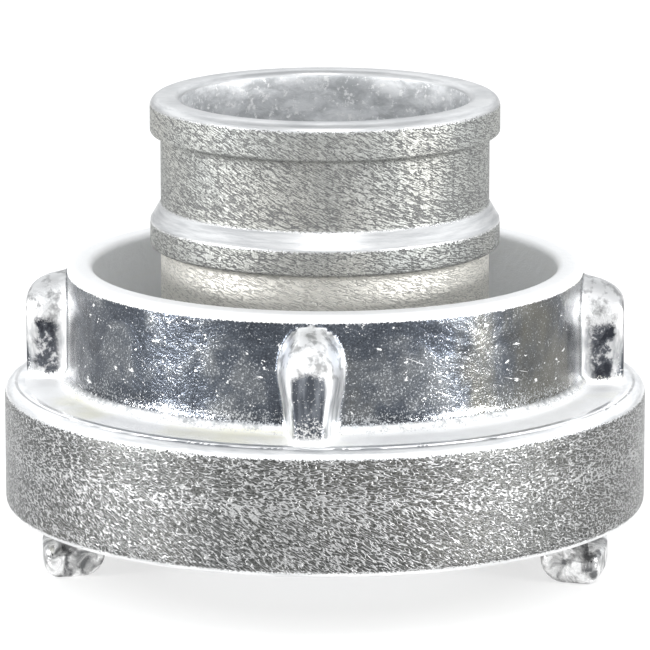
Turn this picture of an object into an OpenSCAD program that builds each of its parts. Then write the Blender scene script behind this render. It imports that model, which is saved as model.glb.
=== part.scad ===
// Swivelling claw coupling for a 52 mm hose: a lug ring that turns freely on a beaded hose tail.
// Z = 0 is the front face of the lug ring, where it meets an identical coupling. +Z runs to the hose.
// Profiles are lists of [radius, height] points for rotate_extrude.

/* [Lug ring] */
// Outside diameter of the broad front band
ring_d = 98; // [96:0.5:104]
// Height of the front band, front face to shoulder
ring_h = 19.3; // [19:0.1:22]
// Outside diameter of the rear collar
collar_d = 78.6; // [77:0.2:82]
// Bore of the rear collar, which clears the hose and its binding
collar_bore_d = 70.8; // [69:0.2:72]
// Height of the rear collar above the front face
collar_top = 37.2; // [34:0.1:39]

/* [Claws] */
// Clear distance between the inner faces of the two claws
claw_gap = 66; // [65.6:0.1:67]
// How far the claws stand out of the front face
claw_reach = 10.6; // [10.4:0.1:12.8]
// Angle that one claw spans
claw_span = 30; // [24:1:34]
// Radius of the outward noses
nose_r = 43.5; // [42:0.1:43.8]
// Angle that one entry window spans
window_span = 40; // [37:1:50]

/* [Spanner lugs] */
// How many spanner lugs stand on the collar
spanner_lugs = 4; // [2:1:6]
// Width of one lug
spanner_w = 9; // [7:0.2:10]
// Radius of their outer faces
spanner_r = 45.5; // [43:0.1:46.5]
// Height of their rounded tops above the front face
spanner_top = 35.4; // [31:0.1:35.8]

/* [Hose tail] */
// Bore that the water runs through
bore_d = 44; // [40:0.5:44.5]
// Outside diameter of the plain tail between the beads
neck_d = 50; // [49:0.2:51]
// Outside diameter of both beads
bead_d = 53.2; // [52:0.1:54]
// Height of the tail's end above the front face
tail_top = 63; // [60:0.5:80]
// Diameter of the flange behind the sealing face
flange_d = 65.2; // [64:0.1:65.3]

/* [Fits] */
// Radial clearance of the tail in the lug ring's bore
running_gap = 0.1; // [0.05:0.01:0.15]
// Clearance round the seal and beside the web and the retaining ring
loose_gap = 0.1; // [0.05:0.01:0.2]

/* [Hidden] */
$fn = 90;

ring_r = ring_d / 2;
collar_r = collar_d / 2;
collar_bore_r = collar_bore_d / 2;
claw_r = claw_gap / 2;
bore_r = bore_d / 2;
neck_r = neck_d / 2;
bead_r = bead_d / 2;
flange_r = flange_d / 2;

// Web of the lug ring: the wall between the claw track and the hose cup
web_low = 13.3;
web_bore_r = 27.5;
// Claw track: the undercut ring that the other coupling's noses run in
track_r = 44.6;
lip_r = 40.2;
lip_low = 0.3;
lip_t = 5.3;
// Claw section
stem_r = 39.6;
nose_low = 5.6;
nose_round = 2.2;
toe_round = 3.7;
toe_set = 1.2;
// How deep the claws, lips and lugs are sunk into the ring's body
root_depth = 1;
// Edges of the lug ring
shoulder_round = 1.9;
foot_round = 1.3;
root_fillet = 2.4;
cup_fillet = 1.5;
mouth_round = 1.1;
bore_chamfer = 0.6;
// Spanner lugs
spanner_round = 4.6;
spanner_foot = 4;

// Hose tail: beads
tail_round = 1.5;
tail_inner_round = 0.8;
end_bead_low = 57.5;
mid_bead_low = 40.2;
mid_bead_high = 44.2;
mid_cone_high = 46.9;
bead_round = 0.6;
bead_fillet = 1;
// Hose tail: bearing, groove and sealing face
face_z = 0;
bearing_r = web_bore_r - running_gap;
flange_top = web_low - loose_gap;
groove_r = 25.6;
retainer_t = 2;
retainer_low = ring_h + loose_gap;
groove_low = retainer_low - loose_gap / 2;
groove_high = retainer_low + retainer_t + loose_gap / 2;
land_r = 27;
land_top = 23;
seat_in = 24.3;
seat_out = 30.9;
seat_lip = 3.8;
seat_undercut = 31.5;
seat_top = 6.6;
seal_proud = 0.8;
seal_bevel_low = 0.2;
seal_bevel_in = 1;
seal_bevel_out = 0.8;
edge = 0.5;
// Retaining ring
retainer_r = 30;
split_w = 5;
split_turn = 40;
// How far a cutter runs past what it cuts
over = 1;

// Points of an arc round a centre, both ends included
function arc(centre, r, from, to, steps = 5) =
    [for (i = [0 : steps]) centre + r * [cos(from + (to - from) * i / steps), sin(from + (to - from) * i / steps)]];

// Body of revolution of the lug ring: web, claw track, band, shoulder, collar and cup
module ring_body() {
    rotate_extrude() polygon(concat(
        [[web_bore_r, web_low + bore_chamfer], [web_bore_r + bore_chamfer, web_low], [track_r, web_low],
         [track_r, edge], [track_r + edge, 0]],
        arc([ring_r - foot_round, foot_round], foot_round, -90, 0),
        arc([ring_r - shoulder_round, ring_h - shoulder_round], shoulder_round, 0, 90),
        arc([collar_r + root_fillet, ring_h + root_fillet], root_fillet, -90, -180),
        arc([collar_r - mouth_round, collar_top - mouth_round], mouth_round, 0, 90),
        arc([collar_bore_r + mouth_round, collar_top - mouth_round], mouth_round, 90, 180),
        arc([collar_bore_r - cup_fillet, ring_h + cup_fillet], cup_fillet, 0, -90),
        [[web_bore_r + bore_chamfer, ring_h], [web_bore_r, ring_h - bore_chamfer]]
    ));
}

// One claw: a stem that hangs from the web, with an outward nose at its tip
module claw() {
    rotate([0, 0, -claw_span / 2]) rotate_extrude(angle = claw_span) polygon(concat(
        [[claw_r, web_low + root_depth], [claw_r, -claw_reach / 2]],
        arc([claw_r + toe_round + toe_set, toe_round - claw_reach], toe_round, 180, 270),
        arc([nose_r - nose_round, nose_round - claw_reach], nose_round, 270, 360),
        [[nose_r, -nose_low - edge], [nose_r - edge, -nose_low], [stem_r, -nose_low], [stem_r, web_low + root_depth]]
    ));
}

// One lip of the claw track, from one entry window to the other: it holds the other coupling's noses in
module lip() {
    span = 180 - window_span;
    rotate([0, 0, -span / 2]) rotate_extrude(angle = span) polygon([
        [lip_r + edge, lip_low], [track_r + root_depth, lip_low], [track_r + root_depth, lip_t],
        [lip_r + edge, lip_t], [lip_r, lip_t - edge], [lip_r, lip_low + edge]
    ]);
}

// One spanner lug: an upright finger with a rounded top, grown out of the collar and the shoulder
module spanner_lug() {
    root = collar_r - root_depth;
    intersection() {
        translate([root, 0, 0]) rotate([90, 0, 90]) linear_extrude(spanner_r - root) {
            translate([-spanner_w / 2, ring_h - spanner_foot]) square([spanner_w, spanner_top - ring_h
                - spanner_w / 2 + spanner_foot]);
            translate([0, spanner_top - spanner_w / 2]) circle(d = spanner_w);
        }
        translate([0, spanner_w, 0]) rotate([90, 0, 0]) linear_extrude(2 * spanner_w) polygon(concat(
            [[root, ring_h - spanner_foot], [spanner_r, ring_h - spanner_foot]],
            arc([spanner_r - spanner_round, spanner_top - spanner_round], spanner_round, 0, 90),
            [[root, spanner_top]]
        ));
    }
}

// Cast aluminium ring with two claws, which turns on the tail and locks to an identical ring
module lug_ring() {
    color("silver") {
        ring_body();
        for (turn = [0, 180]) rotate([0, 0, turn]) {
            lip();
            claw();
        }
        for (i = [0 : spanner_lugs - 1])
            rotate([0, 0, i * 360 / spanner_lugs]) spanner_lug();
    }
}

// Aluminium tail: flange with the seal's seat, bearing, retaining groove, and two beads that grip the hose
module hose_tail() {
    color("gainsboro") rotate_extrude() polygon(concat(
        [[bore_r, face_z], [seat_in, face_z], [seat_in, seat_top],
         [seat_undercut, seat_top], [seat_undercut, seat_lip], [seat_out, seat_lip], [seat_out, face_z],
         [flange_r - edge, face_z], [flange_r, face_z + edge], [flange_r, flange_top - edge],
         [flange_r - edge, flange_top], [bearing_r, flange_top], [bearing_r, groove_low],
         [groove_r, groove_low], [groove_r, groove_high], [land_r, groove_high], [land_r, land_top - edge],
         [land_r - edge, land_top]],
        arc([neck_r + bead_fillet, land_top + bead_fillet], bead_fillet, -90, -180),
        arc([bead_r - bead_round, mid_bead_low - bead_fillet], bead_r - bead_round - neck_r, 180, 90),
        arc([bead_r - bead_round, mid_bead_low + bead_round], bead_round, -90, 0),
        [[bead_r, mid_bead_high], [bead_r - edge / 2, mid_bead_high + edge], [neck_r + edge / 2, mid_cone_high - edge],
         [neck_r, mid_cone_high]],
        arc([bead_r - bead_round, end_bead_low - bead_fillet], bead_r - bead_round - neck_r, 180, 90),
        arc([bead_r - bead_round, end_bead_low + bead_round], bead_round, -90, 0),
        arc([bead_r - tail_round, tail_top - tail_round], tail_round, 0, 90),
        arc([bore_r + tail_inner_round, tail_top - tail_inner_round], tail_inner_round, 90, 180)
    ));
}

// Rubber seal: a foot locked in the flange's undercut seat, and a head that stands proud of the front face
module face_seal() {
    gap = loose_gap;
    color("dimgray") rotate_extrude() polygon([
        [seat_in + gap, seat_top - gap], [seat_undercut - gap, seat_top - gap], [seat_undercut - gap, seat_lip + gap],
        [seat_out - gap, seat_lip + gap], [seat_out - gap, -seal_bevel_low], [seat_out - seal_bevel_out, -seal_proud],
        [seat_in + seal_bevel_in, -seal_proud], [seat_in + gap, -seal_bevel_low]
    ]);
}

// Split spring-steel ring in the tail's groove, which keeps the lug ring from dropping off the hose end
module retaining_ring() {
    cut_h = retainer_t + 2 * over;
    color("slategray") translate([0, 0, retainer_low]) difference() {
        cylinder(r = retainer_r, h = retainer_t);
        translate([0, 0, -over]) cylinder(r = groove_r + loose_gap, h = cut_h);
        rotate([0, 0, split_turn]) translate([groove_r - over, -split_w / 2, -over])
            cube([retainer_r, split_w, cut_h]);
    }
}

lug_ring();
hose_tail();
face_seal();
retaining_ring();
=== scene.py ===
"""Looks of the swivelling claw coupling: lathe-built metalwork, procedural finishes, camera and studio.

Everything is in metres in the CAD frame. Profiles are in millimetres and are scaled once, in finish_mesh().
"""

import math

import bmesh
import bpy
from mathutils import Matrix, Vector


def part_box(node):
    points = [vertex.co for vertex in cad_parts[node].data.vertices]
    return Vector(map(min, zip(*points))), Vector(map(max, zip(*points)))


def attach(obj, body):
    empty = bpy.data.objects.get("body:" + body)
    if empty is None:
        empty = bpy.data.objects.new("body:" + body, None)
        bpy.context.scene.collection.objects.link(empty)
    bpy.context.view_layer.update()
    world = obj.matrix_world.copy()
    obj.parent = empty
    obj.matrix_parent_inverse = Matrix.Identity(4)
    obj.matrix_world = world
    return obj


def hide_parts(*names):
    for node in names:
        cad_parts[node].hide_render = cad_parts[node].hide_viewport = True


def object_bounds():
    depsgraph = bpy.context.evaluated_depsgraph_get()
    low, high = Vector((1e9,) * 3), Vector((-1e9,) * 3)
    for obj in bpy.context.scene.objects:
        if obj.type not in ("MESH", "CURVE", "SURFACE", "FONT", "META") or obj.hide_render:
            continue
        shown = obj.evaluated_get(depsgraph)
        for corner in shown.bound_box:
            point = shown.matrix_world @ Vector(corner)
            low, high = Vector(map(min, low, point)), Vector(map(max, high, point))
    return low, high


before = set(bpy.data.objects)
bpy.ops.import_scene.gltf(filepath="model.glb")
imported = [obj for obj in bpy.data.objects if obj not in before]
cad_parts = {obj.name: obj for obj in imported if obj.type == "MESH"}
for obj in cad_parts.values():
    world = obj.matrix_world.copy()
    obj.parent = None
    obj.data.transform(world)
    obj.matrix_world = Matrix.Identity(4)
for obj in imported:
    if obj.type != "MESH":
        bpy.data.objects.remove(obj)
CAD_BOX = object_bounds()

MM = 0.001
TAU = 2 * math.pi

# ---------------------------------------------------------------- sizes, mm

ring_low, ring_high = (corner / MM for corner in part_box("lug_ring"))
tail_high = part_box("hose_tail")[1] / MM

# Lug ring: the broad band, its shoulder and the collar behind it
RING_R = ring_high.x
COLLAR_TOP = ring_high.z
CLAW_REACH = -ring_low.z
SHOULDER_Z = 19.3
COLLAR_R = 39.3
COLLAR_BORE_R = 35.4
WEB_BORE_R = 27.5
WEB_LOW = 13.3
TRACK_R = 44.6
LIP_R = 40.2
LIP_LOW = 0.3
LIP_HIGH = 5.3
LIP_HALF_SPAN = math.radians(70)
LIP_END_BLEND = math.radians(0.7)
SHOULDER_STEP_R = 47.0
# Claws
CLAW_R = 33.0
CLAW_STEM_R = 39.6
CLAW_NOSE_R = 43.5
CLAW_NOSE_LOW = 5.6
CLAW_HALF_SPAN = math.radians(15)
CLAW_ROOT = 1.0
CLAW_END_ROUND = 1.4
# Spanner lugs
LUG_COUNT = 4
LUG_RISE = 6.4
LUG_TOP = 35.6
LUG_HALF_TOP = 2.0
LUG_HALF_FOOT = 5.6
LUG_FOOT_TAPER = 0.5
LUG_BELLY = 0.6
LUG_BELLY_Z = 28.5
LUG_BELLY_SPREAD = 3.5
LUG_CREST = 5.0
LUG_BLEND = 2.2
CREST_SOFTNESS = 2.4
# Hose tail: bore, beads, neck, bearing and flange
TAIL_TOP = tail_high.z
BORE_R = 22.0
NECK_R = 25.0
BEAD_R = 26.6
FLANGE_R = tail_high.x
BEARING_R = 27.4
LAND_R = 27.0
LAND_TOP = 23.0
GROOVE_R = 25.6
GROOVE_LOW = 19.35
GROOVE_HIGH = 21.45
END_BEAD_LOW = 57.5
MID_BEAD_LOW = 40.2
MID_BEAD_HIGH = 44.1
MID_CONE_HIGH = 46.6
FLANGE_TOP = 13.2
SEAT_IN = 24.3
SEAT_OUT = 30.9
SEAT_TOP = 3.9
# Mesh fineness: degrees between sections of a lathed piece, closer where its surface changes with angle
TURN_STEP = 1.5
LUG_STEP = 0.35
LUG_ZONE = 9
LIP_STEP = 0.25
LIP_ZONE = 1.0


# ---------------------------------------------------------------- profile helpers

def arc(centre_r, centre_z, radius, start, end, steps=6):
    """Points of an arc in the (radius, height) plane, both ends included, angles in degrees."""
    points = []
    for i in range(steps + 1):
        a = math.radians(start + (end - start) * i / steps)
        points.append((centre_r + radius * math.cos(a), centre_z + radius * math.sin(a)))
    return points


def split_long(points, longest):
    """The same closed outline with every straight stretch cut into pieces no longer than longest."""
    result = []
    for (r0, z0), (r1, z1) in zip(points, points[1:] + points[:1]):
        count = max(1, math.ceil(math.hypot(r1 - r0, z1 - z0) / longest))
        for i in range(count):
            result.append((r0 + (r1 - r0) * i / count, z0 + (z1 - z0) * i / count))
    return result


def smooth_step(x):
    """0 below 0, 1 above 1, and a smooth rise between."""
    x = min(max(x, 0.0), 1.0)
    return x * x * (3 - 2 * x)


def smooth_max(a, b, k):
    """The larger of a and b, blended over a width k."""
    h = max(k - abs(a - b), 0.0) / k
    return max(a, b) + h * h * k / 4


def wrap(angle):
    """The same angle between -pi and pi."""
    return (angle + math.pi) % TAU - math.pi


def turns(base_step, zones):
    """Angles once round, base_step degrees apart, and closer inside the zones (centre, half, step)."""
    angles = []
    a = 0.0
    while a < 360 - 1e-6:
        angles.append(a)
        step = base_step
        for centre, half, fine in zones:
            away = abs((a - centre + 180) % 360 - 180)
            if away < half + base_step:
                step = min(step, fine)
        a += step
    return [math.radians(x) for x in angles]


def lathe(bm, outline, angles, shape=None):
    """Spins a closed outline round Z into bm. shape(r, z, angle) may move each point first."""
    rings = []
    for a in angles:
        ring = []
        for r, z in outline:
            rr, zz = shape(r, z, a) if shape else (r, z)
            ring.append(bm.verts.new((rr * math.cos(a), rr * math.sin(a), zz)))
        rings.append(ring)
    for i, ring in enumerate(rings):
        following = rings[(i + 1) % len(rings)]
        for j in range(len(outline)):
            k = (j + 1) % len(outline)
            bm.faces.new((ring[j], following[j], following[k], ring[k]))


def finish_mesh(name, bm, body, node, materials, choose):
    """Makes an object of bm, and sets what it rides on and stands for.

    choose(radius, lowest) gives a face's material from its radius and its lowest point.
    """
    bmesh.ops.recalc_face_normals(bm, faces=bm.faces)
    for f in bm.faces:
        f.smooth = len(f.verts) <= 4
        c = f.calc_center_median()
        f.material_index = choose(math.hypot(c.x, c.y), min(v.co.z for v in f.verts))
    bmesh.ops.scale(bm, vec=(MM,) * 3, verts=bm.verts)
    mesh = bpy.data.meshes.new(name)
    bm.to_mesh(mesh)
    bm.free()
    obj = bpy.data.objects.new(name, mesh)
    bpy.context.scene.collection.objects.link(obj)
    for m in materials:
        mesh.materials.append(m)
    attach(obj, body)
    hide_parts(node)
    return obj


# ---------------------------------------------------------------- lug ring

def ring_outline():
    """Outline of the ring's section: web, claw track with its lips, the outside and the cup."""
    step_r = SHOULDER_STEP_R
    return split_long(
        [(WEB_BORE_R, WEB_LOW + 0.6), (WEB_BORE_R + 0.6, WEB_LOW), (TRACK_R - 0.8, WEB_LOW)]
        + arc(TRACK_R - 0.8, WEB_LOW - 0.8, 0.8, 90, 0)
        + [(TRACK_R, LIP_HIGH), (LIP_R + 0.5, LIP_HIGH), (LIP_R, LIP_HIGH - 0.5), (LIP_R, LIP_LOW + 0.5)]
        + [(LIP_R + 0.5, LIP_LOW), (TRACK_R - 0.1, LIP_LOW), (TRACK_R + 0.3, 0)]
        + arc(RING_R - 1.5, 1.5, 1.5, -90, 0)
        + arc(RING_R - 1.9, SHOULDER_Z - 2.1, 1.9, 0, 90)
        + [(step_r + 0.1, SHOULDER_Z - 0.2), (step_r, SHOULDER_Z - 0.08)]
        + arc(COLLAR_R + 2.3, SHOULDER_Z + 2.3, 2.3, -90, -180)
        + arc(COLLAR_R - 1.1, COLLAR_TOP - 1.1, 1.1, 0, 90)
        + arc(COLLAR_BORE_R + 1.0, COLLAR_TOP - 1.0, 1.0, 90, 180)
        + arc(COLLAR_BORE_R - 1.5, SHOULDER_Z + 1.5, 1.5, 0, -90)
        + [(WEB_BORE_R + 0.6, SHOULDER_Z), (WEB_BORE_R, SHOULDER_Z - 0.6)],
        0.6,
    )


def lug_radius(z, angle):
    """How far out a spanner lug's surface stands at this height and angle.

    Its flanks slope out into the collar in an S, and are widest in its belly. Its top is a rounded crown.
    """
    spacing = TAU / LUG_COUNT
    off = (angle + spacing / 2) % spacing - spacing / 2
    across = abs(off) * (COLLAR_R + 2)
    above = max(z - (LUG_TOP - LUG_CREST), 0.0)
    reach = math.hypot(across, above)
    narrowing = LUG_FOOT_TAPER * smooth_step((LUG_TOP - LUG_CREST - z) / (LUG_TOP - LUG_CREST - SHOULDER_Z))
    narrowing -= LUG_BELLY * math.exp(-(((z - LUG_BELLY_Z) / LUG_BELLY_SPREAD) ** 2))
    side = min(max((reach - LUG_HALF_TOP + narrowing) / (LUG_HALF_FOOT - LUG_HALF_TOP), 0.0), 1.0)
    flank = 0.5 + 0.5 * math.cos(math.pi * side)
    crown = max(1 - (reach / LUG_CREST) ** CREST_SOFTNESS, 0.0) ** (1 / CREST_SOFTNESS)
    upward = (above / reach) ** 2 if reach > 0 else 0.0
    low = COLLAR_R - LUG_BLEND
    return low + (COLLAR_R + LUG_RISE - low) * (flank + (crown - flank) * upward)


def shape_ring(r, z, angle):
    """Opens the entry windows in the lips and grows the spanner lugs out of the collar."""
    on_lip = z < LIP_HIGH + 0.01 and r < TRACK_R - 0.05
    if on_lip:
        from_claw = min(abs(wrap(angle)), abs(wrap(angle - math.pi)))
        shut = smooth_step(1 - (from_claw - LIP_HALF_SPAN) / LIP_END_BLEND)
        folded = TRACK_R - 0.02
        return folded - (folded - r) * shut, z
    outside = r > COLLAR_R - 1.1 and z > SHOULDER_Z - 0.1
    if outside:
        lug = lug_radius(z, angle)
        fade = smooth_step((COLLAR_TOP - 0.3 - z) / 2.0)
        return r + (smooth_max(r, lug, LUG_BLEND) - r) * fade, z
    return r, z


def claw_outline():
    """Outline of a claw's section: stem, undercut nose and rounded toe."""
    return (
        [(CLAW_R, WEB_LOW + CLAW_ROOT), (CLAW_R, -CLAW_REACH / 2)]
        + arc(CLAW_R + 4.9, 3.7 - CLAW_REACH, 3.7, 180, 270)
        + arc(CLAW_NOSE_R - 2.2, 2.2 - CLAW_REACH, 2.2, 270, 360)
        + [(CLAW_NOSE_R, -CLAW_NOSE_LOW - 0.5), (CLAW_NOSE_R - 0.5, -CLAW_NOSE_LOW)]
        + [(CLAW_STEM_R + 0.6, -CLAW_NOSE_LOW), (CLAW_STEM_R, -CLAW_NOSE_LOW + 0.6)]
        + [(CLAW_STEM_R, WEB_LOW + CLAW_ROOT)]
    )


def drawn_in(outline, inset):
    """The closed outline with every point moved inwards by inset."""
    moved = []
    for i, (r, z) in enumerate(outline):
        r0, z0 = outline[i - 1]
        r1, z1 = outline[(i + 1) % len(outline)]
        length = math.hypot(r1 - r0, z1 - z0)
        moved.append((r - inset * (z1 - z0) / length, z + inset * (r1 - r0) / length))
    return moved


def add_claw(bm, middle):
    """One claw in bm: its section carried along an arc, with rounded ends."""
    outline = split_long(claw_outline(), 1.0)
    centre_r = (CLAW_R + CLAW_NOSE_R) / 2
    length = CLAW_HALF_SPAN * centre_r
    flat = length - CLAW_END_ROUND
    half = [(flat * i / 6, 0.0) for i in range(6)]
    for i in range(6):
        a = math.pi / 2 * i / 5
        half.append((flat + CLAW_END_ROUND * math.sin(a), CLAW_END_ROUND * (1 - math.cos(a))))
    stations = [(-d, inset) for d, inset in reversed(half[1:])] + half

    rings = []
    for distance, inset in stations:
        a = middle + distance / centre_r
        section = drawn_in(outline, inset)
        rings.append([bm.verts.new((r * math.cos(a), r * math.sin(a), z)) for r, z in section])
    for one, two in zip(rings, rings[1:]):
        for j in range(len(outline)):
            k = (j + 1) % len(outline)
            bm.faces.new((one[j], two[j], two[k], one[k]))
    bm.faces.new(rings[0])
    bm.faces.new(list(reversed(rings[-1])))


def build_lug_ring(materials):
    """The whole casting: grained band, smooth body and claws, which are materials 0, 1 and 2."""
    bm = bmesh.new()
    lug_zones = [(i * 360 / LUG_COUNT, LUG_ZONE, LUG_STEP) for i in range(LUG_COUNT)]
    window = 90 - math.degrees(LIP_HALF_SPAN)
    edges = [(side + sign * window, LIP_ZONE, LIP_STEP) for side in (90, 270) for sign in (-1, 1)]
    lathe(bm, ring_outline(), turns(TURN_STEP, lug_zones + edges), shape_ring)
    for middle in (0, math.pi):
        add_claw(bm, middle)

    def choose(r, lowest):
        if lowest < -0.05:
            return 2
        return 0 if r > SHOULDER_STEP_R - 0.9 else 1

    return finish_mesh("lug_ring_cast", bm, "ring", "lug_ring", materials, choose)


# ---------------------------------------------------------------- hose tail

def tail_outline():
    """Outline of the tail's section, from the front of the bore round the flange and up over the beads."""
    fillet = BEAD_R - 0.6 - NECK_R
    return split_long(
        [(BORE_R, 0), (SEAT_IN, 0), (SEAT_IN, SEAT_TOP), (SEAT_OUT, SEAT_TOP), (SEAT_OUT, 0)]
        + arc(FLANGE_R - 0.5, 0.5, 0.5, -90, 0, 3)
        + arc(FLANGE_R - 0.5, FLANGE_TOP - 0.5, 0.5, 0, 90, 3)
        + [(BEARING_R, FLANGE_TOP), (BEARING_R, GROOVE_LOW), (GROOVE_R, GROOVE_LOW), (GROOVE_R, GROOVE_HIGH)]
        + [(LAND_R, GROOVE_HIGH)]
        + arc(LAND_R - 0.5, LAND_TOP - 0.5, 0.5, 0, 90, 3)
        + arc(NECK_R + 1, LAND_TOP + 1, 1, -90, -180)
        + arc(BEAD_R - 0.6, MID_BEAD_LOW - 1, fillet, 180, 90)
        + arc(BEAD_R - 0.45, MID_BEAD_LOW + 0.45, 0.45, -90, 0, 4)
        + arc(BEAD_R - 0.5, MID_BEAD_HIGH - 0.1, 0.5, 0, 45, 4)
        + arc(NECK_R + 1.2, MID_CONE_HIGH + 0.5, 1.2, -135, -180, 4)
        + arc(BEAD_R - 0.6, END_BEAD_LOW - 1, fillet, 180, 90)
        + arc(BEAD_R - 0.5, END_BEAD_LOW + 0.5, 0.5, -90, 0, 4)
        + arc(BEAD_R - 1.5, TAIL_TOP - 1.5, 1.5, 0, 90)
        + arc(BORE_R + 1.1, TAIL_TOP - 1.1, 1.1, 90, 180),
        1.2,
    )


def build_hose_tail(materials):
    """The turned tail: grained outside and bore, which are materials 0 and 1."""
    bm = bmesh.new()
    lathe(bm, tail_outline(), turns(TURN_STEP, []))

    def choose(r, lowest):
        return 1 if r < BORE_R + 0.05 else 0

    return finish_mesh("hose_tail_turned", bm, "tail", "hose_tail", materials, choose)


# ---------------------------------------------------------------- materials

class Finish:
    """A node material with short helpers, so that each finish reads as a recipe. Lengths are in mm."""

    def __init__(self, name, metallic, roughness):
        self.material = bpy.data.materials.new(name)
        self.material.use_nodes = True
        self.nodes = self.material.node_tree.nodes
        self.links = self.material.node_tree.links
        self.shader = self.nodes["Principled BSDF"]
        self.shader.inputs["Metallic"].default_value = metallic
        self.shader.inputs["Roughness"].default_value = roughness
        coords = self.nodes.new("ShaderNodeTexCoord").outputs["Object"]
        self.place = self.vector("MULTIPLY", coords, (1 / MM,) * 3)

    def _set(self, socket, value):
        if isinstance(value, bpy.types.NodeSocket):
            self.links.new(value, socket)
        else:
            socket.default_value = value

    def vector(self, operation, a, b):
        n = self.nodes.new("ShaderNodeVectorMath")
        n.operation = operation
        self._set(n.inputs[0], a)
        self._set(n.inputs[1], b)
        return n.outputs[0]

    def math(self, operation, a, b=0.0):
        n = self.nodes.new("ShaderNodeMath")
        n.operation = operation
        self._set(n.inputs[0], a)
        self._set(n.inputs[1], b)
        return n.outputs[0]

    def jitter(self, value, noise, amount):
        """The value pushed up and down by a noise, so that an edge drawn with it is ragged."""
        return self.math("ADD", value, self.math("MULTIPLY", self.math("SUBTRACT", noise, 0.5), amount))

    def split(self, vector):
        n = self.nodes.new("ShaderNodeSeparateXYZ")
        self._set(n.inputs[0], vector)
        return n.outputs

    def sheared(self, per_x):
        """The place raised by per_x for each mm along X, so that stretched grain runs on a slant."""
        x, y, z = self.split(self.place)
        n = self.nodes.new("ShaderNodeCombineXYZ")
        self._set(n.inputs[0], x)
        self._set(n.inputs[1], y)
        self._set(n.inputs[2], self.math("ADD", z, self.math("MULTIPLY", x, per_x)))
        return n.outputs[0]

    def noise(self, place, per_mm, detail=3.0, rough=0.55, distortion=0.0):
        """Noise of about per_mm features to the mm along each axis."""
        n = self.nodes.new("ShaderNodeTexNoise")
        self._set(n.inputs["Vector"], self.vector("MULTIPLY", place, per_mm))
        n.inputs["Scale"].default_value = 1.0
        n.inputs["Detail"].default_value = detail
        n.inputs["Roughness"].default_value = rough
        n.inputs["Distortion"].default_value = distortion
        return n.outputs["Fac"]

    def warped(self, place, per_mm, amount):
        """The place pushed about by a slow noise, so that a grain wanders."""
        n = self.nodes.new("ShaderNodeTexNoise")
        self._set(n.inputs["Vector"], self.vector("MULTIPLY", place, (per_mm,) * 3))
        n.inputs["Scale"].default_value = 1.0
        centred = self.vector("SUBTRACT", n.outputs["Color"], (0.5,) * 3)
        push = self.vector("MULTIPLY", centred, (amount,) * 3)
        return self.vector("ADD", place, push)

    def window(self, value, low, high):
        """0 where value is below low, 1 above high, smooth between."""
        n = self.nodes.new("ShaderNodeMapRange")
        n.interpolation_type = "SMOOTHSTEP"
        self._set(n.inputs["Value"], value)
        n.inputs["From Min"].default_value = low
        n.inputs["From Max"].default_value = high
        return n.outputs["Result"]

    def between(self, value, low, high, soft):
        """1 where value is between low and high, fading out over soft at each side."""
        above = self.window(value, low - soft, low + soft)
        return self.math("MULTIPLY", above, self.window(value, high + soft, high - soft))

    def ramp(self, value, stops):
        """Colour ramp: stops are (position, colour)."""
        n = self.nodes.new("ShaderNodeValToRGB")
        self._set(n.inputs[0], value)
        elements = n.color_ramp.elements
        while len(elements) < len(stops):
            elements.new(0.5)
        for element, (position, colour) in zip(elements, stops):
            element.position = position
            element.color = (*colour, 1)
        return n.outputs[0]

    def mix(self, factor, a, b):
        n = self.nodes.new("ShaderNodeMix")
        n.data_type = "RGBA"
        self._set(n.inputs["Factor"], factor)
        for socket, value in ((n.inputs["A"], a), (n.inputs["B"], b)):
            self._set(socket, value if isinstance(value, bpy.types.NodeSocket) else (*value, 1))
        return n.outputs["Result"]

    def multiply(self, a, b):
        n = self.nodes.new("ShaderNodeMix")
        n.data_type = "RGBA"
        n.blend_type = "MULTIPLY"
        n.inputs["Factor"].default_value = 1.0
        self._set(n.inputs["A"], a)
        self._set(n.inputs["B"], b)
        return n.outputs["Result"]

    def lerp(self, factor, a, b):
        n = self.nodes.new("ShaderNodeMix")
        n.data_type = "FLOAT"
        self._set(n.inputs["Factor"], factor)
        self._set(n.inputs["A"], a)
        self._set(n.inputs["B"], b)
        return n.outputs["Result"]

    def bump(self, height, depth_mm, under=None):
        n = self.nodes.new("ShaderNodeBump")
        n.inputs["Strength"].default_value = 1.0
        n.inputs["Distance"].default_value = depth_mm * MM
        self._set(n.inputs["Height"], height)
        if under is not None:
            self._set(n.inputs["Normal"], under)
        return n.outputs["Normal"]

    def set(self, name, value):
        self._set(self.shader.inputs[name], value)


def grey(v, blue=0.0):
    """A grey of this level, made a little blue if wanted."""
    return (v * (1 - blue), v, v * (1 + blue))


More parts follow.
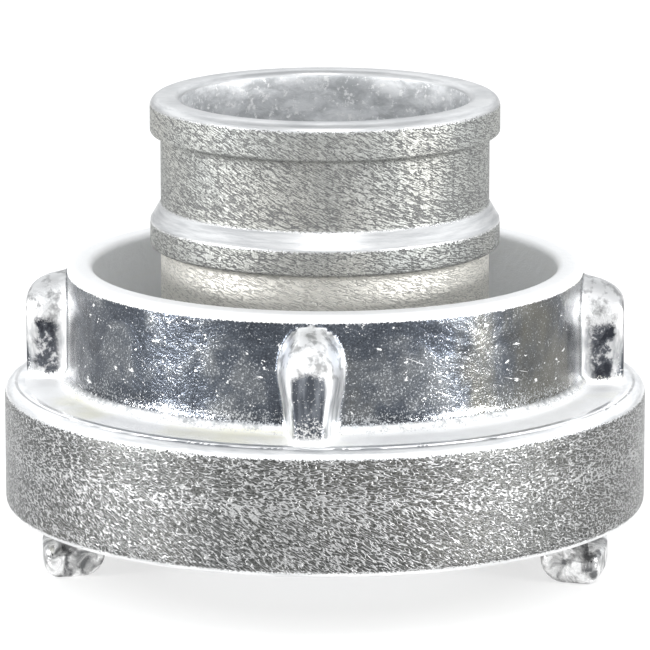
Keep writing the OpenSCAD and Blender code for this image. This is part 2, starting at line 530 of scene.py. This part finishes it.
def grained(name, tilts, turn, stretch, ground, grit, crease, gloss, rubbed_tone, bands, painted_light_below=None):
    """Blasted aluminium with a fine leathery grain of thin creases, lying on a finer grit.

    tilts      slope of the creases below and above the two heights in turn
    stretch    crease features to the mm along X, Y and height
    ground     colour between the creases; grit is how much it varies
    crease     colour of the creases, which stand proud where it is the paler of the two
    gloss      roughness on the grit's low and high spots
    bands      (low, high) heights where the grain is rubbed or turned away to metal of rubbed_tone
    painted_light_below  height below which the surface is cleaner, with fainter creases, and painted paler as
    painted light for the lower neck near the collar's cup
    """
    f = Finish(name, metallic=1.0, roughness=0.36)
    z = f.split(f.place)[2]
    lower, upper = [f.noise(f.warped(f.sheared(t), 0.5, 0.5), stretch, 1.0, 0.5) for t in tilts]
    grain = f.lerp(f.window(z, *turn), lower, upper)
    fine = f.noise(f.place, (3.2, 3.2, 3.8), detail=2.0, rough=0.6)
    away = f.jitter(f.math("ABSOLUTE", f.math("SUBTRACT", grain, 0.5)), fine, 0.10)
    line = f.window(away, 0.080, 0.005)
    broad = f.noise(f.place, (0.06, 0.06, 0.04), detail=2.0)
    dull, bright = (tuple((1 + sign * grit) * v for v in ground) for sign in (-1, 1))
    plain = f.ramp(fine, [(0.36, dull), (0.64, bright)])
    plain = f.multiply(plain, f.ramp(broad, [(0.35, grey(0.8, 0.03)), (0.65, grey(1.0))]))
    tone = f.mix(line, plain, crease)
    # Below that height: cleaner metal with fainter creases, on a paler ground that is painted light for the
    # lower neck near the collar's cup
    if painted_light_below:
        faint_grain_painted_light = f.mix(f.math("MULTIPLY", line, 0.45), (0.70, 0.685, 0.64), grey(0.2))
        tone = f.mix(f.window(z, painted_light_below + 0.2, painted_light_below - 0.6), tone, faint_grain_painted_light)

    # Rubbed or turned bands, ragged at their edges and faintly streaked round the piece
    ragged = f.jitter(z, fine, 1.2)
    rubbed = None
    for low, high in bands:
        inside = f.between(ragged, low, high, 0.15)
        rubbed = inside if rubbed is None else f.math("MAXIMUM", rubbed, inside)
    streaky = f.noise(f.place, (0.12, 0.12, 1.6), detail=4.0, rough=0.65)
    metal = f.ramp(streaky, [(0.36, grey(0.75 * rubbed_tone, 0.01)), (0.6, grey(rubbed_tone))])

    f.set("Base Color", f.mix(rubbed, tone, metal))
    f.set("Roughness", f.lerp(rubbed, f.lerp(fine, *gloss), 0.33))
    rise = f.math("MULTIPLY", line, 1.0 if sum(crease) > sum(ground) else -1.0)
    height = f.math("ADD", rise, fine)
    f.set("Normal", f.bump(f.math("MULTIPLY", height, f.math("SUBTRACT", 1.05, rubbed)), 0.07))
    return f.material


def cast_body():
    """The collar, lugs and shoulder: dark glossy as-cast skin on the walls, bright metal on the flats."""
    f = Finish("cast_aluminium_body", metallic=1.0, roughness=0.25)
    x, y, z = f.split(f.place)
    radius = f.math("POWER", f.math("ADD", f.math("POWER", x, 2.0), f.math("POWER", y, 2.0)), 0.5)
    speckle = f.noise(f.place, (3.6, 3.6, 3.6), detail=2.0, rough=0.6)
    patch = f.noise(f.place, (0.12, 0.12, 0.14), detail=3.0, rough=0.6, distortion=0.4)
    ragged = f.jitter(z, speckle, 2.2)

    above_fillet = f.window(ragged, SHOULDER_Z + 0.3, SHOULDER_Z + 1.1)
    below_mouth = f.window(f.jitter(z, speckle, 0.7), COLLAR_TOP - 1.1, COLLAR_TOP - 1.4)
    outside = f.window(radius, COLLAR_R - 1.0, COLLAR_R - 0.4)
    on_wall = f.math("MULTIPLY", f.math("MULTIPLY", above_fillet, below_mouth), outside)
    on_lug = f.window(radius, COLLAR_R + 0.10, COLLAR_R + 0.40)
    specks = casting_specks(f, z, speckle, patch)
    wall = collar_wall(f, x, speckle, patch, specks)
    lug = spanner_lug(f, x, y, radius, ragged, patch, specks)

    f.set("Base Color", f.mix(on_wall, rubbed_flats(f, z, radius, patch), f.mix(on_lug, wall, lug)))
    f.set("Roughness", f.lerp(on_wall, 0.70, f.lerp(on_lug, 0.22, 0.40)))
    f.set("Normal", f.bump(speckle, 0.05, under=f.bump(patch, 0.35)))
    return f.material


def casting_specks(f, z, speckle, patch):
    """Where white casting specks may lie: all over the wall, crowded near the shoulder and in drifts."""
    near_foot = f.window(z, SHOULDER_Z + 5.0, SHOULDER_Z + 0.5)
    blotch = f.window(patch, 0.45, 0.65)
    drift = f.window(f.noise(f.place, (0.07, 0.07, 0.6), detail=3.0, rough=0.6), 0.58, 0.70)
    crowd = f.math("ADD", speckle, f.math("MULTIPLY", near_foot, 0.15))
    crowd = f.math("ADD", crowd, f.math("MULTIPLY", blotch, 0.05))
    return f.math("ADD", crowd, f.math("MULTIPLY", drift, 0.07))


def collar_wall(f, x, speckle, patch, specks):
    """Dark blue-grey skin with a fine grit, an olive stain on the +X side, specks, chips and scratches, and a
    painted highlight next to the lugs on the X axis.
    """
    dark = (0.056, 0.063, 0.076)
    middle = (0.106, 0.119, 0.141)
    light = (0.23, 0.242, 0.254)
    wall = f.ramp(patch, [(0.32, dark), (0.5, middle), (0.68, light)])
    wall = f.multiply(wall, f.ramp(speckle, [(0.38, grey(0.6)), (0.62, grey(1.0))]))
    stain = f.math("ADD", f.noise(f.place, (0.09, 0.09, 0.04), detail=3.0), f.math("MULTIPLY", x, 0.008))
    wall = f.mix(f.math("MULTIPLY", f.window(stain, 0.62, 0.84), 0.6), wall, (0.19, 0.18, 0.145))
    wall = f.mix(f.math("MULTIPLY", f.window(specks, 0.61, 0.74), 0.75), wall, grey(0.6, 0.02))
    chip = f.noise(f.place, (0.45, 0.45, 0.8), detail=4.0, rough=0.65, distortion=0.3)
    wall = f.mix(f.window(chip, 0.65, 0.67), wall, grey(0.95))
    scratch = f.window(f.noise(f.sheared(0.45), (0.10, 0.10, 2.6), detail=1.0), 0.745, 0.76)
    rare = f.window(f.noise(f.place, (0.11, 0.11, 0.11), detail=1.0), 0.5, 0.56)
    wall = f.mix(f.math("MULTIPLY", scratch, rare), wall, grey(0.85))

    # Painted highlight: a pale strip where it runs into the lugs on the X axis
    painted_highlight_reach = f.jitter(f.math("ABSOLUTE", x), patch, 3.0)
    return f.mix(f.math("MULTIPLY", f.window(painted_highlight_reach, 36.8, 38.4), 0.7), wall, grey(0.45, 0.02))


def spanner_lug(f, x, y, radius, ragged, patch, specks):
    """A lug's bright crown, pale flanks and dark front face. Lugs stand on the X and Y axes.

    The two on the X axis carry painted shade: they are darker, and dark-mottled in the middle of their
    flanks.
    """
    across = f.jitter(f.math("MINIMUM", f.math("ABSOLUTE", x), f.math("ABSOLUTE", y)), patch, 2.0)
    face = f.window(across, LUG_HALF_TOP + 0.7, LUG_HALF_TOP + 0.1)
    crest = f.window(f.math("ADD", ragged, f.math("MULTIPLY", across, 0.3)), LUG_TOP - 6.4, LUG_TOP - 5.2)
    streak = f.noise(f.place, (0.8, 0.8, 0.16), detail=3.0)
    flank = f.ramp(streak, [(0.38, grey(0.5, 0.02)), (0.56, grey(0.85))])

    # Painted shade on the two lugs on the X axis: a dark mottle in the middle of their flanks
    mottle = f.noise(f.place, (0.42, 0.42, 0.36), detail=4.0, rough=0.68, distortion=0.3)
    painted_shade_mottle = f.ramp(mottle, [(0.40, (0.045, 0.048, 0.058)), (0.53, (0.13, 0.137, 0.155)), (0.62, grey(0.8))])
    proud = f.jitter(radius, mottle, 4.0)
    in_middle = f.window(proud, COLLAR_R + 0.9, COLLAR_R + 2.0)
    in_middle = f.math("MULTIPLY", in_middle, f.window(proud, COLLAR_R + 5.4, COLLAR_R + 4.4))
    side_lug_painted_shade = f.window(f.math("ABSOLUTE", x), 30, 34)
    flank = f.mix(f.math("MULTIPLY", in_middle, side_lug_painted_shade), flank, painted_shade_mottle)

    dark_face = f.ramp(streak, [(0.42, (0.075, 0.083, 0.097)), (0.68, (0.22, 0.235, 0.26))])
    front = f.mix(f.window(specks, 0.62, 0.74), dark_face, grey(0.7))
    dimple = f.noise(f.place, (0.5, 0.5, 0.5), detail=3.0, rough=0.6)
    crown = f.ramp(dimple, [(0.38, grey(0.45)), (0.5, grey(0.88))])
    lug = f.mix(crest, f.mix(face, flank, front), crown)
    # Painted shade: the two lugs on the X axis are made about a third darker
    return f.mix(f.math("MULTIPLY", side_lug_painted_shade, 0.32), lug, grey(0.0))


def rubbed_flats(f, z, radius, patch):
    """Pale metal with faint warm streaks, with painted shade making it a little duller and bluer inside the
    cup, and a little duller on its mouth.
    """
    haze = f.window(f.noise(f.place, (0.05, 0.05, 0.9), detail=3.0), 0.5, 0.7)
    pale = f.mix(haze, f.ramp(patch, [(0.3, grey(0.92)), (0.7, grey(0.99))]), (0.90, 0.89, 0.80))
    # Painted shade: a little darker and bluer inside the cup
    pale = f.mix(f.window(radius, COLLAR_BORE_R + 0.5, COLLAR_BORE_R - 0.1), pale, grey(0.9, 0.01))
    return f.mix(f.window(z, COLLAR_TOP - 0.8, COLLAR_TOP - 0.3), pale, grey(0.88))


def cast_claw():
    """The claws: bright as-cast metal with soft dents."""
    f = Finish("cast_aluminium_claw", metallic=1.0, roughness=0.2)
    dent = f.noise(f.place, (0.42, 0.42, 0.42), detail=3.0, rough=0.6, distortion=0.6)
    speckle = f.noise(f.place, (2.0, 2.0, 2.0), detail=3.0)
    f.set("Base Color", f.ramp(dent, [(0.38, grey(0.15, 0.02)), (0.50, grey(0.50)), (0.62, grey(0.92))]))
    f.set("Roughness", f.lerp(speckle, 0.18, 0.4))
    f.set("Normal", f.bump(speckle, 0.08, under=f.bump(dent, 0.25)))
    return f.material


def bore_wall():
    """The bore: satin and a little blue, with mottled bright flecks."""
    f = Finish("aluminium_bore", metallic=1.0, roughness=0.35)
    mottle = f.noise(f.place, (0.22, 0.22, 0.42), detail=4.0, rough=0.66, distortion=0.3)
    fleck = f.window(f.noise(f.place, (0.8, 0.8, 0.9), detail=4.0, rough=0.7), 0.53, 0.66)
    satin = f.ramp(mottle, [(0.38, grey(0.52, 0.02)), (0.62, grey(0.76, 0.01))])
    f.set("Base Color", f.mix(fleck, satin, grey(0.88)))
    f.set("Roughness", f.lerp(mottle, 0.75, 0.55))
    f.set("Normal", f.bump(mottle, 0.12))
    return f.material


def seal_rubber():
    """Matt black rubber."""
    f = Finish("seal_rubber_black", metallic=0.0, roughness=0.6)
    grain = f.noise(f.place, (1.2, 1.2, 1.2), detail=4.0, rough=0.6)
    f.set("Base Color", f.ramp(grain, [(0.3, grey(0.012)), (0.7, grey(0.035))]))
    f.set("Roughness", f.lerp(grain, 0.5, 0.75))
    f.set("Normal", f.bump(grain, 0.08))
    return f.material


def spring_steel():
    """Satin steel, faintly streaked round the ring."""
    f = Finish("spring_steel_satin", metallic=1.0, roughness=0.35)
    streak = f.noise(f.place, (0.6, 0.6, 6.0), detail=3.0)
    f.set("Base Color", f.ramp(streak, [(0.3, grey(0.34, 0.02)), (0.7, grey(0.52, 0.02))]))
    f.set("Roughness", f.lerp(streak, 0.28, 0.45))
    f.set("Normal", f.bump(streak, 0.05))
    return f.material


# ---------------------------------------------------------------- object

def build_object():
    """The two detailed metal pieces, and finishes on the two plain CAD pieces."""
    band = grained(
        "aluminium_grained_band",
        tilts=(0.55, 0.12),
        turn=(7, 14),
        stretch=(0.9, 0.9, 2.4),
        ground=(0.122, 0.122, 0.116),
        grit=0.55,
        crease=grey(0.48),
        gloss=(0.44, 0.29),
        rubbed_tone=0.97,
        bands=[(-1.0, 0.9), (SHOULDER_Z - 1.5, SHOULDER_Z + 1.0)],
    )
    neck = grained(
        "aluminium_grained_tail",
        tilts=(0.35, 0.55),
        turn=(46, 52),
        stretch=(0.60, 0.60, 3.3),
        ground=(0.38, 0.38, 0.357),
        grit=0.2,
        crease=grey(0.15),
        gloss=(0.66, 0.48),
        rubbed_tone=0.68,
        bands=[(MID_BEAD_HIGH - 0.2, MID_CONE_HIGH + 0.1), (TAIL_TOP - 1.1, TAIL_TOP + 1.0)],
        painted_light_below=MID_BEAD_LOW,
    )
    build_lug_ring([band, cast_body(), cast_claw()])
    build_hose_tail([neck, bore_wall()])
    for node, material in (("face_seal", seal_rubber()), ("retaining_ring", spring_steel())):
        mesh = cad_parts[node].data
        mesh.materials.clear()
        mesh.materials.append(material)


# ---------------------------------------------------------------- studio

CAMERA_AZIMUTH = math.radians(2.9)
CAMERA_ELEVATION = math.radians(12.2)
CAMERA_DISTANCE = 0.85
CAMERA_AIM = Vector((0, 0, 0.0273))
CAMERA_LENS = 307.8
FLOOR_HALF = 4.0
FLOOR_GREY = 0.42
FLOOR_GLOW = 0.62
SKY_BRIGHTEST = 0.45
SKY_LEVELS = (0.24, 0.82, 0.40)
SKY_STRENGTH = 1.8


def build_camera():
    """A long lens a little above the object and nearly square to its front."""
    data = bpy.data.cameras.new("camera")
    data.lens = CAMERA_LENS
    data.sensor_width = 36
    data.clip_start = 0.05
    data.clip_end = 50
    camera = bpy.data.objects.new("camera", data)
    bpy.context.scene.collection.objects.link(camera)
    a, e = CAMERA_AZIMUTH, CAMERA_ELEVATION
    back = Vector((math.sin(a) * math.cos(e), -math.cos(a) * math.cos(e), math.sin(e)))
    camera.location = CAMERA_AIM + back * CAMERA_DISTANCE
    camera.rotation_mode = "QUATERNION"
    camera.rotation_quaternion = (-back).to_track_quat("-Z", "Y")
    bpy.context.scene.camera = camera


def build_floor():
    """A pale matt floor under the claws, glowing a little so that it stays white away from the lights."""
    bm = bmesh.new()
    bmesh.ops.create_grid(bm, x_segments=8, y_segments=8, size=FLOOR_HALF)
    mesh = bpy.data.meshes.new("floor")
    bm.to_mesh(mesh)
    bm.free()
    floor = bpy.data.objects.new("floor", mesh)
    floor.location.z = CAD_BOX[0].z
    bpy.context.scene.collection.objects.link(floor)
    material = bpy.data.materials.new("floor_white")
    material.use_nodes = True
    shader = material.node_tree.nodes["Principled BSDF"]
    shader.inputs["Base Color"].default_value = (*grey(FLOOR_GREY), 1)
    shader.inputs["Roughness"].default_value = 0.9
    shader.inputs["Emission Color"].default_value = (1, 1, 1, 1)
    shader.inputs["Emission Strength"].default_value = FLOOR_GLOW
    shader.inputs["Specular IOR Level"].default_value = 0.1
    mesh.materials.append(material)


def area_light(name, azimuth, elevation, distance, size, watts, tall=None):
    """A soft box that looks at the object from this direction. Azimuth 0 is in front of it."""
    data = bpy.data.lights.new(name, "AREA")
    data.shape = "RECTANGLE"
    data.size = size
    data.size_y = tall or size
    data.energy = watts
    light = bpy.data.objects.new(name, data)
    bpy.context.scene.collection.objects.link(light)
    a, e = math.radians(azimuth), math.radians(elevation)
    back = Vector((math.sin(a) * math.cos(e), -math.cos(a) * math.cos(e), math.sin(e)))
    light.location = CAMERA_AIM + back * distance
    light.rotation_mode = "QUATERNION"
    light.rotation_quaternion = (-back).to_track_quat("-Z", "Y")
    light.visible_camera = False


def build_world():
    """An even studio surround: brightest half way up, dimmer overhead and towards the horizon."""
    world = bpy.data.worlds.new("studio")
    world.use_nodes = True
    nodes, links = world.node_tree.nodes, world.node_tree.links
    sky = nodes["Background"]
    direction = nodes.new("ShaderNodeTexCoord").outputs["Generated"]
    height = nodes.new("ShaderNodeSeparateXYZ")
    links.new(direction, height.inputs[0])
    ramp = nodes.new("ShaderNodeValToRGB")
    stops = ramp.color_ramp.elements
    stops.new(SKY_BRIGHTEST)
    for stop, level in zip(stops, SKY_LEVELS):
        stop.color = (level, 1.02 * level, 1.04 * level, 1)
    links.new(height.outputs["Z"], ramp.inputs[0])
    links.new(ramp.outputs[0], sky.inputs["Color"])
    sky.inputs["Strength"].default_value = SKY_STRENGTH
    bpy.context.scene.world = world


def build_lights():
    """Two low soft boxes for the bright streaks at the sides, and a weak one high in front."""
    area_light("left", -66, 4, 1.0, 0.30, 8.5, 0.16)
    area_light("right", 66, 4, 1.0, 0.30, 9.0, 0.16)
    area_light("front", 8, 52, 1.1, 0.4, 2.0)
    view = bpy.context.scene.view_settings
    view.view_transform = "Standard"


build_object()
build_camera()
build_floor()
build_world()
build_lights()
